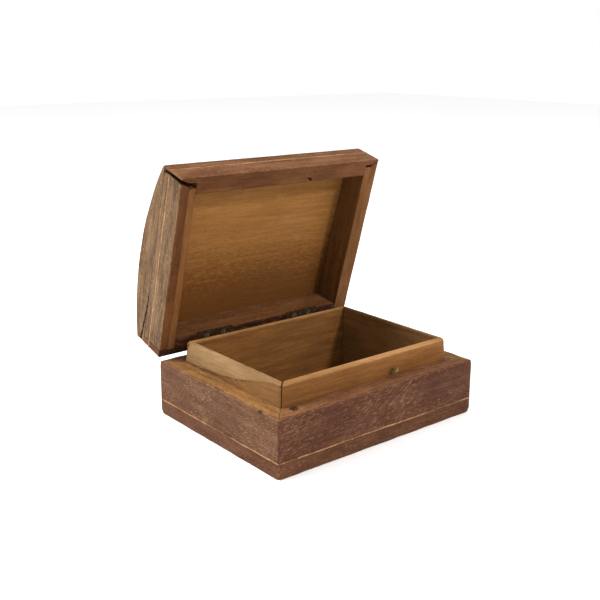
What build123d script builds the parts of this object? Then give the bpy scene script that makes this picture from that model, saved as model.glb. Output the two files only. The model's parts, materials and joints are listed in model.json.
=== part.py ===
from build123d import *
import os

# A small wooden puzzle box: a mitred base with a raised liner, and a domed lid on two butt hinges.
# Millimetres. Origin at the centre of the underside, +Z up, the front is -Y. The lid is drawn
# closed and then turned open about its hinge line, which is how the box rests in this model.

# overall sizes
box_width = 150.0
box_depth = 117.0
base_height = 34.3
lid_open_angle = 74.0

# base
side_wall = 10.8
end_wall = 11.9                 # front and back walls
plinth_height = 9.1
bottom_thickness = 4.0
bottom_rebate = 3.0
liner_thickness = 3.6
liner_rise = 13.2
liner_round = 2.8

# light strings let into the outside of base and lid
string_size = 1.0
lid_string_height = 12.3        # lower edge of the lid's string, above the rim

# lid
joint_gap = 0.2                 # between the base's top and the lid's rim
rail_clearance = 1.4            # between the liner and the front and back rails
rail_height = 18.6
lining_thickness = 4.6
lining_clearance = 0.4          # between the liner and the side linings
back_tongue = 4.5
dome_front_edge = 1.8
dome_back_edge = 8.3
dome_crown = 16.0
dome_crown_from_front = 66.0

# the sliding front rail and its catch
rail_travel = 1.5
slide_clearance = 0.2
corner_tip = 1.1                # thickness of the rail's ends at the outside corner
shoulder_depth = 3.5            # thickness of the rail's ends beside the side rail
left_corner_gap = 1.5
left_lining_setback = 6.9       # from the lid's front face to the lining's end
right_lining_setback = 5.0
brad_x = 18.2
brad_height = 3.5               # above the ledge
brad_shank_radius = 0.5
brad_head_radius = 1.5
brad_head_thickness = 0.8
catch_lip = 1.2
catch_clearance = 0.4
guide_pin_x = 45.0
guide_pin_radius = 1.0
guide_pin_inset = 8.0           # from the lid's front face
guide_pin_depth = 6.0
guide_pin_rise = 2.0
guide_clearance = 0.1

# hinges
hinge_x = 35.0
hinge_offset = 1.3              # hinge line behind the back face
leaf_length = 25.4
leaf_clearance = 0.2            # between a leaf's edge and the base liner
leaf_thickness = 1.0
knuckle_radius = 1.6
knuckle_count = 5
knuckle_gap = 0.1
knuckle_relief = 0.25
hinge_pin_radius = 0.6
hinge_pin_clearance = 0.05
screw_inset = 3.0               # from a leaf's edge to its screws
screw_spacing = 12.4
screw_head_radius = 1.7
screw_head_height = 0.9
screw_shank_radius = 0.9
screw_length = 7.0
screw_slot = 0.4

cut_past = 1.0                  # how far a cutting solid runs past what it cuts

# places worked out from the sizes above
half_w = box_width / 2
half_d = box_depth / 2
liner_x = half_w - side_wall
liner_y = half_d - end_wall
liner_top = base_height + liner_rise
rim_z = base_height + joint_gap
lid_top_z = rim_z + rail_height
hinge_y = half_d + hinge_offset
hinge_z = base_height + joint_gap / 2
leaf_reach = end_wall + hinge_offset - leaf_clearance
screw_reach = leaf_reach - screw_inset
lid_inner_x = liner_x + lining_clearance
lining_outer_x = lid_inner_x + lining_thickness
lid_inner_y = liner_y + rail_clearance
brad_z = base_height + brad_height
brad_reach = lid_inner_y - liner_y + catch_lip + slide_clearance + brad_head_thickness


def block(x0, x1, y0, y1, z0, z1):
    """A plain block between three pairs of coordinates."""
    size = (abs(x1 - x0), abs(y1 - y0), abs(z1 - z0))
    return Pos((x0 + x1) / 2, (y0 + y1) / 2, (z0 + z1) / 2) * Box(*size)


def prism(points, z0, z1):
    """A flat outline in plan, raised from z0 to z1."""
    outline = Polyline(*points, close=True)
    return Pos(0, 0, z0) * extrude(make_face(outline), z1 - z0)


def rod(radius, start, end):
    """A round bar between two points."""
    axis = Vector(*end) - Vector(*start)
    return Plane(origin=start, z_dir=axis) * Cylinder(
        radius, axis.length, align=(Align.CENTER, Align.CENTER, Align.MIN)
    )


def ring_boards(x_out, y_out, x_in, y_in, z0, z1):
    """Four boards mitred round a rectangle, by the side they stand on."""
    return {
        "front": prism([(-x_out, -y_out), (x_out, -y_out), (x_in, -y_in), (-x_in, -y_in)], z0, z1),
        "back": prism([(-x_in, y_in), (x_in, y_in), (x_out, y_out), (-x_out, y_out)], z0, z1),
        "left": prism([(-x_out, -y_out), (-x_in, -y_in), (-x_in, y_in), (-x_out, y_out)], z0, z1),
        "right": prism([(x_in, -y_in), (x_out, -y_out), (x_out, y_out), (x_in, y_in)], z0, z1),
    }


def strings(z0):
    """Four light strings, flush with the outside: front and back full width, sides between."""
    z1 = z0 + string_size
    inner_x = half_w - string_size
    inner_y = half_d - string_size
    return {
        "front": block(-half_w, half_w, -half_d, -inner_y, z0, z1),
        "back": block(-half_w, half_w, inner_y, half_d, z0, z1),
        "left": block(-half_w, -inner_x, -inner_y, inner_y, z0, z1),
        "right": block(inner_x, half_w, -inner_y, inner_y, z0, z1),
    }


def screw(x, y, z, down):
    """A countersunk wood screw whose head is flush with z, pointing down or up."""
    way = -1 if down else 1
    head_end = z + way * screw_head_height
    head = Plane(origin=(x, y, z), z_dir=(0, 0, way)) * Cone(
        screw_head_radius, screw_shank_radius, screw_head_height,
        align=(Align.CENTER, Align.CENTER, Align.MIN),
    )
    shank = rod(screw_shank_radius, (x, y, head_end), (x, y, z + way * screw_length))
    return head + shank


def slot_in(piece, x, y, z, down):
    """The screwdriver slot cut across a screw's head."""
    way = -1 if down else 1
    half = screw_slot / 2
    reach = screw_head_radius
    return piece - block(x - half, x + half, y - reach, y + reach, z, z + way * screw_slot)


def knuckle_spans(x, own):
    """The start and end of each knuckle that belongs to a leaf: even ones base, odd ones lid."""
    pitch = leaf_length / knuckle_count
    first = x - leaf_length / 2
    spans = []
    for i in range(knuckle_count):
        if i % 2 == own:
            start = first + i * pitch + (knuckle_gap if i else 0)
            end = first + (i + 1) * pitch - (knuckle_gap if i < knuckle_count - 1 else 0)
            spans.append((start, end))
    return spans


def leaf(x, own):
    """One hinge leaf, flat against the closed joint: own 0 is the base's leaf, 1 the lid's."""
    face_z = base_height if own == 0 else rim_z
    back_z = face_z - leaf_thickness if own == 0 else face_z + leaf_thickness
    x0, x1 = x - leaf_length / 2, x + leaf_length / 2
    near = hinge_y - knuckle_radius - knuckle_relief
    piece = block(x0, x1, hinge_y - leaf_reach, near, face_z, back_z)
    for start, end in knuckle_spans(x, own):
        piece += block(start, end, near, hinge_y, face_z, back_z)
        piece += rod(knuckle_radius, (start, hinge_y, hinge_z), (end, hinge_y, hinge_z))
    bore = hinge_pin_radius + hinge_pin_clearance
    return piece - rod(bore, (x0 - cut_past, hinge_y, hinge_z), (x1 + cut_past, hinge_y, hinge_z))


def leaf_mortise(x, own):
    """The recess a leaf and its knuckles lie in."""
    face_z = base_height if own == 0 else rim_z
    back_z = face_z - leaf_thickness if own == 0 else face_z + leaf_thickness
    x0, x1 = x - leaf_length / 2, x + leaf_length / 2
    recess = block(x0, x1, hinge_y - leaf_reach, hinge_y, face_z, back_z)
    clear = knuckle_radius + knuckle_relief
    groove = rod(clear, (x0, hinge_y, hinge_z), (x1, hinge_y, hinge_z))
    return recess + groove


nodes = {}

# base: plinth strips, strings, walls, liner and bottom
plinths = ring_boards(half_w, half_d, liner_x, liner_y, 0, plinth_height)
walls = ring_boards(half_w, half_d, liner_x, liner_y, plinth_height, base_height)
base_strings = strings(plinth_height)
bottom_x = liner_x + bottom_rebate
bottom_y = liner_y + bottom_rebate
bottom = block(-bottom_x, bottom_x, -bottom_y, bottom_y, 0, bottom_thickness)
nodes["base_bottom_panel"] = bottom
for side in ("front", "back", "left", "right"):
    wall = walls[side]
    for string in base_strings.values():
        wall -= string
    nodes[f"base_{side}_plinth"] = plinths[side] - bottom
    nodes[f"base_{side}_wall"] = wall
    nodes[f"base_{side}_string"] = base_strings[side]

# the liner: one rounded frame section, mitred into four boards
liner_inner_x = liner_x - liner_thickness
liner_inner_y = liner_y - liner_thickness
liner_block = block(-liner_x, liner_x, -liner_y, liner_y, bottom_thickness, liner_top)
liner_block = fillet(liner_block.faces().sort_by(Axis.Z)[-1].edges(), liner_round)
liner_boards = ring_boards(
    liner_x, liner_y, liner_inner_x, liner_inner_y, bottom_thickness, liner_top
)
for side, board in liner_boards.items():
    nodes[f"liner_{side}_board"] = board & liner_block

# the headed brad in the front liner that the lid's front rail hooks
brad_tip_y = -liner_y - brad_reach
shank_start = (brad_x, -liner_inner_y - slide_clearance, brad_z)
shank_end = (brad_x, brad_tip_y, brad_z)
head_start = (brad_x, brad_tip_y + brad_head_thickness, brad_z)
brad = rod(brad_shank_radius, shank_start, shank_end) + rod(brad_head_radius, head_start, shank_end)
nodes["liner_front_board"] -= brad
nodes["catch_brad"] = brad

# lid: closed, in plan from the outside in
rail_body_x = lid_inner_x - slide_clearance
front_y = -half_d
shoulder_y = front_y + shoulder_depth
tip_y = front_y + corner_tip
front_rail = prism(
    [
        (-half_w, front_y), (half_w, front_y), (half_w, tip_y),
        (lining_outer_x, shoulder_y), (rail_body_x, shoulder_y), (rail_body_x, -lid_inner_y),
        (-rail_body_x, -lid_inner_y), (-rail_body_x, shoulder_y), (-lining_outer_x, shoulder_y),
        (-half_w, tip_y),
    ],
    rim_z, lid_top_z - guide_clearance,
)
back_shoulder_y = half_d - back_tongue
back_rail = block(-half_w, half_w, back_shoulder_y, half_d, rim_z, lid_top_z)
back_rail += block(-lid_inner_x, lid_inner_x, lid_inner_y, back_shoulder_y, rim_z, lid_top_z)


def side_rail(sign, gap):
    """A side rail's outer board: slanted at the front, square against the back rail's tongue."""
    return prism(
        [
            (sign * half_w, tip_y + gap), (sign * lining_outer_x, shoulder_y + gap),
            (sign * lining_outer_x, back_shoulder_y), (sign * half_w, back_shoulder_y),
        ],
        rim_z, lid_top_z,
    )


def side_lining(sign, setback):
    """The thin board inside a side rail, ending short of the front rail's shoulder."""
    x0, x1 = sign * lid_inner_x, sign * lining_outer_x
    return block(x0, x1, front_y + setback, back_shoulder_y, rim_z, lid_top_z)


left_rail = side_rail(-1, left_corner_gap)
right_rail = side_rail(1, slide_clearance)

# dome board: flat below, a single arc above
arc_top = lid_top_z + dome_crown
dome_outline = Polyline(
    (half_d, lid_top_z + dome_back_edge), (half_d, lid_top_z),
    (-half_d, lid_top_z), (-half_d, lid_top_z + dome_front_edge),
)
dome_arc = ThreePointArc(
    (-half_d, lid_top_z + dome_front_edge),
    (-half_d + dome_crown_from_front, arc_top),
    (half_d, lid_top_z + dome_back_edge),
)
dome_section = Plane.YZ * make_face([dome_outline, dome_arc])
dome = Pos(-half_w, 0, 0) * extrude(dome_section, box_width, dir=(1, 0, 0))

# guide pins stand in the front rail and run in slots under the dome board
pin_y = front_y + guide_pin_inset
guide_pins = []
for x in (-guide_pin_x, guide_pin_x):
    foot = lid_top_z - guide_pin_depth
    pin = rod(guide_pin_radius, (x, pin_y, foot), (x, pin_y, lid_top_z + guide_pin_rise))
    guide_pins.append(pin)
    front_rail -= pin
    reach = guide_pin_radius + guide_clearance
    slot_top = lid_top_z + guide_pin_rise + guide_clearance
    dome -= block(x - reach, x + reach, pin_y - rail_travel - reach, pin_y + reach,
                  lid_top_z, slot_top)

# keyhole catch in the front rail: the brad's head rides up the wide slot behind the lip, and
# sliding the rail forward brings the lip's round hole over the head
lip_y = -lid_inner_y - catch_lip
slot_y = brad_tip_y - catch_clearance
shank_half = brad_shank_radius + catch_clearance
head_half = brad_head_radius + catch_clearance
front_rail -= block(brad_x - shank_half, brad_x + shank_half, slot_y, -lid_inner_y, rim_z, brad_z)
front_rail -= block(brad_x - head_half, brad_x + head_half, slot_y, lip_y, rim_z, brad_z)
front_rail -= rod(head_half, (brad_x, slot_y, brad_z), (brad_x, -lid_inner_y, brad_z))

lid_strings = strings(rim_z + lid_string_height)
for string in lid_strings.values():
    front_rail -= string
    back_rail -= string
    left_rail -= string
    right_rail -= string
for side, sign, gap in (("left", -1, left_corner_gap), ("right", 1, slide_clearance)):
    # a side string ends on the same slant as the rail it is let into
    past_end = prism(
        [
            (sign * half_w, front_y - cut_past), (sign * half_w, tip_y + gap),
            (sign * lining_outer_x, shoulder_y + gap), (sign * lining_outer_x, front_y - cut_past),
        ],
        rim_z, lid_top_z,
    )
    nodes[f"lid_{side}_string"] = lid_strings[side] - past_end
nodes["lid_front_string"] = lid_strings["front"]
nodes["lid_back_string"] = lid_strings["back"]
nodes["lid_left_lining"] = side_lining(-1, left_lining_setback)
nodes["lid_right_lining"] = side_lining(1, right_lining_setback)
nodes["lid_dome_board"] = dome
nodes["rail_guide_pins"] = Compound(guide_pins)

# hinges: leaves, pins and screws, let into the back wall and the back rail
base_screws = []
lid_screws = []
for side, x in (("left", -hinge_x), ("right", hinge_x)):
    base_leaf = leaf(x, 0)
    lid_leaf = leaf(x, 1)
    nodes["base_back_wall"] -= leaf_mortise(x, 0)
    back_rail -= leaf_mortise(x, 1)
    for offset in (-screw_spacing / 2, screw_spacing / 2):
        place = (x + offset, hinge_y - screw_reach)
        down = screw(*place, base_height, True)
        up = screw(*place, rim_z, False)
        nodes["base_back_wall"] -= down
        back_rail -= up
        base_leaf -= down
        lid_leaf -= up
        base_screws.append(slot_in(down, *place, base_height, True))
        lid_screws.append(slot_in(up, *place, rim_z, False))
    ends = (x - leaf_length / 2, x + leaf_length / 2)
    nodes[f"hinge_{side}_base_leaf"] = base_leaf
    nodes[f"hinge_{side}_lid_leaf"] = lid_leaf
    nodes[f"hinge_{side}_pin"] = rod(
        hinge_pin_radius, (ends[0], hinge_y, hinge_z), (ends[1], hinge_y, hinge_z)
    )
nodes["hinge_base_screws"] = Compound(base_screws)
nodes["hinge_lid_screws"] = Compound(lid_screws)
nodes["lid_front_rail"] = front_rail
nodes["lid_back_rail"] = back_rail
nodes["lid_left_rail"] = left_rail
nodes["lid_right_rail"] = right_rail

# turn everything on the lid open about the hinge line
lid_nodes = [n for n in nodes if n.startswith("lid_") or n.endswith("_lid_leaf")]
lid_nodes += ["rail_guide_pins", "hinge_lid_screws"]
hinge_line = Axis((0, hinge_y, hinge_z), (1, 0, 0))
for name in lid_nodes:
    nodes[name] = nodes[name].rotate(hinge_line, -lid_open_angle)

os.makedirs("parts", exist_ok=True)
for name, shape in nodes.items():
    export_step(shape, f"parts/{name}.step")
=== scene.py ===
import json
import math

import bpy
import numpy as np
from mathutils import Matrix, Vector


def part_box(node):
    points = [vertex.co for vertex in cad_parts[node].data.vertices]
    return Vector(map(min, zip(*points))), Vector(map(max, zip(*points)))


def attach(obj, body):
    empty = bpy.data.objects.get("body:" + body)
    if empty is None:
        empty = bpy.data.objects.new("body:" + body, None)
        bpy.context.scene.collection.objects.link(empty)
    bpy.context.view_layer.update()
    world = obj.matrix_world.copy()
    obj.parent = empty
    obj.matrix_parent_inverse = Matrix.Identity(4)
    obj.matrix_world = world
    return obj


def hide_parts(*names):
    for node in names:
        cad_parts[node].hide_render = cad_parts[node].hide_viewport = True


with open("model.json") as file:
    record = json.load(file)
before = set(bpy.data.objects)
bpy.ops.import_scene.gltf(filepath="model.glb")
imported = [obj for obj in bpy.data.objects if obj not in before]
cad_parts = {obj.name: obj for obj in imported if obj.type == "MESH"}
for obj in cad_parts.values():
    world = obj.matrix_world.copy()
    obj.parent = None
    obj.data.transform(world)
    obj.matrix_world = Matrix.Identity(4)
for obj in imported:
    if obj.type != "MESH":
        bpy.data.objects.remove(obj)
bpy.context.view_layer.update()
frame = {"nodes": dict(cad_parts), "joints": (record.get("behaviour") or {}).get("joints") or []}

# Studio. A plain pale floor under a white sky, one large soft lamp behind the box on its left, which
# the open lid keeps off the inside, a weaker soft one in front on its right, and a small high one
# that throws the right board's shadow across the inside of the back one.
scene = bpy.context.scene
scene.view_settings.view_transform = "Standard"
scene.view_settings.look = "None"
MM = 0.001
CAMERA_PLACE = (-338.5, -396.2, 217.9)
CAMERA_YAW = math.radians(-39.456)
CAMERA_PITCH = math.radians(-14.437)
CAMERA_ROLL = math.radians(0.339)
LENS = 54.27
SENSOR = 36.0
LENS_SHIFT = (-0.0020, -0.0316)
CLIP_START = 0.01
# lamps: name, place, size and power
LAMPS = (
    ("key_lamp", (-900, 560, 900), 700, 32.0),
    ("fill_lamp", (560, -1050, 420), 500, 3.5),
    ("window_lamp", (300, -1050, 720), 120, 10.0),
)
LAMP_AIM = (0, 0, 60)
SKY_STRENGTH = 1.0
FLOOR_REACH = 3000
FLOOR_COLOUR = (0.93, 0.93, 0.925)
FLOOR_ROUGHNESS = 0.9


def look_along(yaw, pitch, roll):
    """A camera's turning matrix: yaw about the vertical, then pitch up, then roll about its own line
    of sight."""
    level = math.cos(pitch)
    ahead = Vector((-math.sin(yaw) * level, math.cos(yaw) * level, math.sin(pitch)))
    right = Vector((math.cos(yaw), math.sin(yaw), 0))
    up = right.cross(ahead)
    rolled_right = right * math.cos(roll) + up * math.sin(roll)
    rolled_up = up * math.cos(roll) - right * math.sin(roll)
    return Matrix((rolled_right, rolled_up, -ahead)).transposed().to_4x4()


camera_data = bpy.data.cameras.new("camera")
camera_data.lens = LENS
camera_data.sensor_width = SENSOR
camera_data.shift_x, camera_data.shift_y = LENS_SHIFT
camera_data.clip_start = CLIP_START
camera = bpy.data.objects.new("camera", camera_data)
camera.matrix_world = Matrix.Translation(Vector(CAMERA_PLACE) * MM) @ look_along(
    CAMERA_YAW, CAMERA_PITCH, CAMERA_ROLL
)
scene.collection.objects.link(camera)
scene.camera = camera

for lamp_name, place, size, power in LAMPS:
    lamp_data = bpy.data.lights.new(lamp_name, "AREA")
    lamp_data.size = size * MM
    lamp_data.energy = power
    lamp = bpy.data.objects.new(lamp_name, lamp_data)
    lamp.location = Vector(place) * MM
    lamp.rotation_euler = (Vector(LAMP_AIM) - Vector(place)).to_track_quat("-Z", "Y").to_euler()
    scene.collection.objects.link(lamp)

world = bpy.data.worlds.new("white_sky")
world.use_nodes = True
sky = world.node_tree.nodes["Background"]
sky.inputs["Color"].default_value = (1, 1, 1, 1)
sky.inputs["Strength"].default_value = SKY_STRENGTH
scene.world = world


def blank_material(name):
    """A new material, its node tree and its shader."""
    material = bpy.data.materials.new(name)
    material.use_nodes = True
    return material, material.node_tree, material.node_tree.nodes["Principled BSDF"]


floor_mesh = bpy.data.meshes.new("floor")
reach = FLOOR_REACH * MM
floor_mesh.from_pydata(
    [(-reach, -reach, 0), (reach, -reach, 0), (reach, reach, 0), (-reach, reach, 0)], [], [(0, 1, 2, 3)]
)
floor = bpy.data.objects.new("floor", floor_mesh)
scene.collection.objects.link(floor)
floor_paint, _, floor_shader = blank_material("floor_paint")
floor_shader.inputs["Base Color"].default_value = (*FLOOR_COLOUR, 1)
floor_shader.inputs["Roughness"].default_value = FLOOR_ROUGHNESS
floor_mesh.materials.append(floor_paint)

# Plinth strips. Four strips of a redder, straighter hardwood mitred under the walls; their lower
# arrises have been rubbed round by years of standing on tables.
base_low, base_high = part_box("base_front_plinth")
BOX_HALF_WIDTH = base_high.x / MM
BOX_HALF_DEPTH = -base_low.y / MM
PLINTH_HEIGHT = base_high.z / MM
WALL_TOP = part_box("base_front_wall")[1].z / MM
LINER_HALF_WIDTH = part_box("liner_right_board")[1].x / MM
LINER_HALF_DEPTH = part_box("liner_back_board")[1].y / MM
SIDE_WALL = BOX_HALF_WIDTH - LINER_HALF_WIDTH
END_WALL = BOX_HALF_DEPTH - LINER_HALF_DEPTH
LATTICE = 32
EDGE_PLACES = (0, 0.12, 0.25, 0.4, 0.6, 0.9, 1.3, 1.9)
EDGE_SHARE = 0.45
DEPTH_STEP = 1.6
HEIGHT_STEP = 0.9
JOINT_CHAMFER = 0.1
CORNER_ROUND = 0.9
FOOT_ROUND = 3.8
FOOT_FADE = 2.2
WEAR_PITCH = 7
WEAR_LIMITS = (0.25, 3)
ARRIS_FADE = 0.7
GRIME_FADE = 0.6
STAIN_LINE = 0.75
STAIN_SWING = 0.5
STAIN_FADE = 0.5
BARE_FADE = 0.35
GRAIN_SPREAD = 400


def drift(points, pitch, seed):
    """Smooth random values from -1 to 1: seeded numbers on a lattice with the given pitch, blended
    between the eight corners round each point with 3t^2 - 2t^3 along each axis."""
    lattice = np.random.default_rng(seed).uniform(-1, 1, (LATTICE,) * 3)
    spot = np.asarray(points, float) / pitch
    cell = np.floor(spot).astype(int)
    part = spot - cell
    part = part * part * (3 - 2 * part)
    total = np.zeros(spot.shape[:-1])
    for corner in np.ndindex(2, 2, 2):
        near = np.where(corner, part, 1 - part).prod(-1)
        i, j, k = np.moveaxis((cell + corner) % LATTICE, -1, 0)
        total += near * lattice[i, j, k]
    return total


def drift_along(places, pitch, seed):
    """The same smooth random values along one line."""
    line = np.zeros(np.shape(places) + (3,))
    line[..., 0] = places
    return drift(line, pitch, seed)


def grade(length, step, extra=()):
    """Places along a side of a board: crowded near its two ends and `step` apart between."""
    near = np.array([e for e in EDGE_PLACES if e < EDGE_SHARE * length])
    inner = length - 2 * near[-1]
    middle = near[-1] + inner * np.linspace(0, 1, max(1, round(inner / step)) + 1)
    places = np.concatenate([near, middle, length - near, np.asarray(extra, float)])
    places = np.unique(np.round(places, 4))
    return places[(places >= 0) & (places <= length)]


def skin(along, deep, high):
    """The closed skin of a block: the outer points of a lattice of three lists of places, and the
    four-sided faces between them, face by face: top, underside, outside, inside, end and start."""
    shape = (len(along), len(deep), len(high))
    i, j, k = np.indices(shape)
    outer = (i % (shape[0] - 1) == 0) | (j % (shape[1] - 1) == 0) | (k % (shape[2] - 1) == 0)
    number = np.full(shape, -1)
    number[outer] = np.arange(outer.sum())
    points = np.stack([along[i[outer]], deep[j[outer]], high[k[outer]]], -1)

    def mesh_face(n, flip):
        quads = np.stack([n[:-1, :-1], n[1:, :-1], n[1:, 1:], n[:-1, 1:]], -1).reshape(-1, 4)
        return quads[:, ::-1] if flip else quads

    faces = [
        mesh_face(number[:, :, -1], False), mesh_face(number[:, :, 0], True),
        mesh_face(number[:, 0, :], False), mesh_face(number[:, -1, :], True),
        mesh_face(number[-1, :, :], False), mesh_face(number[0, :, :], True),
    ]
    return points, faces


def ease(u, v, radius):
    """Rounds the square corner at u = v = 0: the square within `radius` of it is pressed into a
    quarter disc, by the ratio of its points' larger offset to their distance from the centre."""
    off_u = np.minimum(u - radius, 0)
    off_v = np.minimum(v - radius, 0)
    press = np.maximum(-off_u, -off_v) / np.maximum(np.hypot(off_u, off_v), 1e-9)
    return u - off_u + off_u * press, v - off_v + off_v * press


def stand(side, along, deep, height):
    """Turns a board's own places (along it, into the box, up) into places in the box's frame."""
    x, y = {
        "front": (along, deep - BOX_HALF_DEPTH),
        "back": (-along, BOX_HALF_DEPTH - deep),
        "left": (deep - BOX_HALF_WIDTH, -along),
        "right": (BOX_HALF_WIDTH - deep, along),
    }[side]
    return np.stack([x, y, height], -1)


def make_piece(name, points, faces, marks, materials):
    """A mesh object from points in millimetres, groups of faces with one material each, and marks
    kept on its points for the materials to read."""
    quads = np.concatenate(faces)
    mesh = bpy.data.meshes.new(name)
    mesh.vertices.add(len(points))
    mesh.vertices.foreach_set("co", (points * MM).astype(np.float32).ravel())
    mesh.loops.add(quads.size)
    mesh.loops.foreach_set("vertex_index", quads.astype(np.int32).ravel())
    mesh.polygons.add(len(quads))
    mesh.polygons.foreach_set("loop_start", np.arange(0, quads.size, 4, dtype=np.int32))
    mesh.update(calc_edges=True)
    for mark, values in marks.items():
        kind = "FLOAT" if values.ndim == 1 else "FLOAT_VECTOR"
        field = "value" if values.ndim == 1 else "vector"
        layer = mesh.attributes.new(mark, kind, "POINT")
        layer.data.foreach_set(field, values.astype(np.float32).ravel())
    shown = list(dict.fromkeys(materials))
    for material in shown:
        mesh.materials.append(material)
    index = np.repeat([shown.index(m) for m in materials], [len(f) for f in faces])
    mesh.polygons.foreach_set("material_index", index.astype(np.int32))
    mesh.shade_smooth()
    piece = bpy.data.objects.new(name, mesh)
    scene.collection.objects.link(piece)
    return piece


def value_at(shape, *places):
    """A size that may be one number, or a function of place."""
    return shape(*places) if callable(shape) else shape


def shape_board(side, span, layer, heights, slopes=(0, 0), rounds=(0.4, 0.4, 0.4, 0.4), wear=0.5,
                step=1.2, extra=(), thin=None, foot=0, crown=None, gaps=(0, 0), corner=None,
                tall=1.0, taper=1, scoops=(), worn_edges=(), dirty_edges=(), seed=1):
    """A board as a block lattice bent to shape. `span` is its length at the outside, `layer` its
    outer and inner depth in the box, `heights` its bottom and top. Its ends slope inwards by
    `slopes` per millimetre of depth and stand back by `gaps`; `thin` gives its thickness, `foot` and
    `crown` its lower and upper face, and `extra` the places where these jump. Its four long edges
    (outer top, inner top, outer low, inner low) are eased by `rounds`, which wander by `wear`; the
    outer top's is `tall` times as high as it is deep, and follows `taper`. `corner` rounds its outer
    ends in plan, and `scoops` are balls (centre and radius) whose room is pressed out of it."""
    length, thickness, height = span[1] - span[0], layer[1] - layer[0], heights[1] - heights[0]
    points, faces = skin(
        grade(length, step, np.asarray(extra, float) - span[0]),
        grade(thickness, DEPTH_STEP),
        grade(height, HEIGHT_STEP),
    )
    along, deep, high = points.T
    place = span[0] + along
    at_end = (along == 0) | (along == length)
    on_rim = (deep == 0) | (deep == thickness) | (high == 0) | (high == height)
    chamfer = np.where(at_end & on_rim, JOINT_CHAMFER, 0)
    deepest = thickness if thin is None else thin(place, high)
    lowest = value_at(foot, place, deep)
    top = height if crown is None else crown(place, deep)
    deep = deep * deepest / thickness
    high = lowest + high * (top - lowest) / height
    from_top, from_low, from_inner = top - high, high - lowest, deepest - deep
    marks = {
        "outer_top": np.hypot(deep, from_top), "inner_top": np.hypot(from_inner, from_top),
        "outer_low": np.hypot(deep, from_low), "inner_low": np.hypot(from_inner, from_low),
        "start": along, "end": length - along, "start_corner": np.hypot(along, deep),
        "end_corner": np.hypot(length - along, deep), "top": from_top,
    }
    scale = [
        np.clip(1 + wear * drift_along(place, WEAR_PITCH, seed + n), *WEAR_LIMITS) for n in range(4)
    ]
    stretch = value_at(tall, place)
    deep, from_top = ease(deep, from_top / stretch, rounds[0] * scale[0] * value_at(taper, place))
    high = top - from_top * stretch
    from_inner, from_top = ease(deepest - deep, top - high, rounds[1] * scale[1])
    deep, high = deepest - from_inner, top - from_top
    deep, from_low = ease(deep, high - lowest, rounds[2] * scale[2])
    high = lowest + from_low
    from_inner, from_low = ease(deepest - deep, high - lowest, rounds[3] * scale[3])
    deep, high = deepest - from_inner, lowest + from_low
    open_start, open_end = value_at(gaps, high / height)
    start_inset = slopes[0] * deep + open_start + chamfer
    end_inset = slopes[1] * deep + open_end + chamfer
    along = start_inset + along * (length - start_inset - end_inset) / length
    if corner is not None:
        radius = value_at(corner, high / height)
        along, deep = ease(along, deep, radius)
        from_end, deep = ease(length - along, deep, radius)
        along = length - from_end
    shaped = np.stack([span[0] + along, layer[0] + deep, heights[0] + high], -1)
    for *centre, radius in scoops:
        away = shaped - np.array(centre)
        far = np.linalg.norm(away, axis=1, keepdims=True)
        shaped = np.where(far < radius, centre + away / np.maximum(far, 1e-6) * radius, shaped)

    def along_edges(edges, fade):
        """The sum of each edge's weight, which dies away from it as e^(-distance / fade)."""
        total = np.zeros(len(high))
        for edge, weight in edges:
            total += weight * np.exp(-marks[edge] / fade)
        return total

    slow, quick = drift_along(place, 6, seed + 5), drift_along(place, 1.7, seed + 6)
    past_stain = points[:, 1] - STAIN_LINE - STAIN_SWING * slow - STAIN_SWING / 2 * quick
    kept = {
        "grain": points + np.random.default_rng(seed).uniform(-GRAIN_SPREAD, GRAIN_SPREAD, 3),
        "arris": along_edges(worn_edges, ARRIS_FADE),
        "grime": along_edges(dirty_edges, GRIME_FADE),
        "bare": np.exp(-marks["top"] / BARE_FADE) * np.clip(past_stain / STAIN_FADE, 0, 1),
    }
    return stand(side, *shaped.T), faces, kept


def tint(red, green, blue):
    """A colour given as 0-255 display values, in the linear light that the shaders use."""
    part = np.array([red, green, blue]) / 255
    linear = np.where(part <= 0.04045, part / 12.92, ((part + 0.055) / 1.055) ** 2.4)
    return (*linear.tolist(), 1.0)


def add_node(tree, kind, sockets=None, **settings):
    """A shader node with some of its sockets and settings filled in."""
    made = tree.nodes.new(kind)
    for key, value in settings.items():
        setattr(made, key, value)
    for key, value in (sockets or {}).items():
        made.inputs[key].default_value = value
    return made


def stretched_noise(tree, source, scale, offset, detail, rough=0.55, twist=0.0, slant=0.0):
    """Noise drawn out along the grain: its place is scaled by three numbers first. With a slant,
    the place is first turned by that much in the board's face, so that marks run across the grain."""
    if slant:
        turned = add_node(tree, "ShaderNodeMapping", {"Rotation": (0, slant, 0)})
        tree.links.new(source, turned.inputs["Vector"])
        source = turned.outputs["Vector"]
    mapped = add_node(tree, "ShaderNodeMapping", {"Scale": scale, "Location": offset})
    noise = add_node(
        tree, "ShaderNodeTexNoise",
        {"Scale": 1.0, "Detail": detail, "Roughness": rough, "Distortion": twist},
    )
    tree.links.new(source, mapped.inputs["Vector"])
    tree.links.new(mapped.outputs["Vector"], noise.inputs["Vector"])
    return noise.outputs["Fac"]


def window(tree, value, low, high, to_low=0.0, to_high=1.0):
    """Stretches the part of a value between low and high to the whole of another span."""
    ranged = add_node(
        tree, "ShaderNodeMapRange",
        {"From Min": low, "From Max": high, "To Min": to_low, "To Max": to_high},
        interpolation_type="SMOOTHSTEP",
    )
    tree.links.new(value, ranged.inputs["Value"])
    return ranged.outputs["Result"]


def combine(tree, operation, first, second):
    """One sum or product of two values, each a socket or a plain number."""
    sum_node = add_node(tree, "ShaderNodeMath", operation=operation)
    for socket, value in zip(sum_node.inputs, (first, second)):
        if isinstance(value, (int, float)):
            socket.default_value = value
        else:
            tree.links.new(value, socket)
    return sum_node.outputs["Value"]


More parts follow.
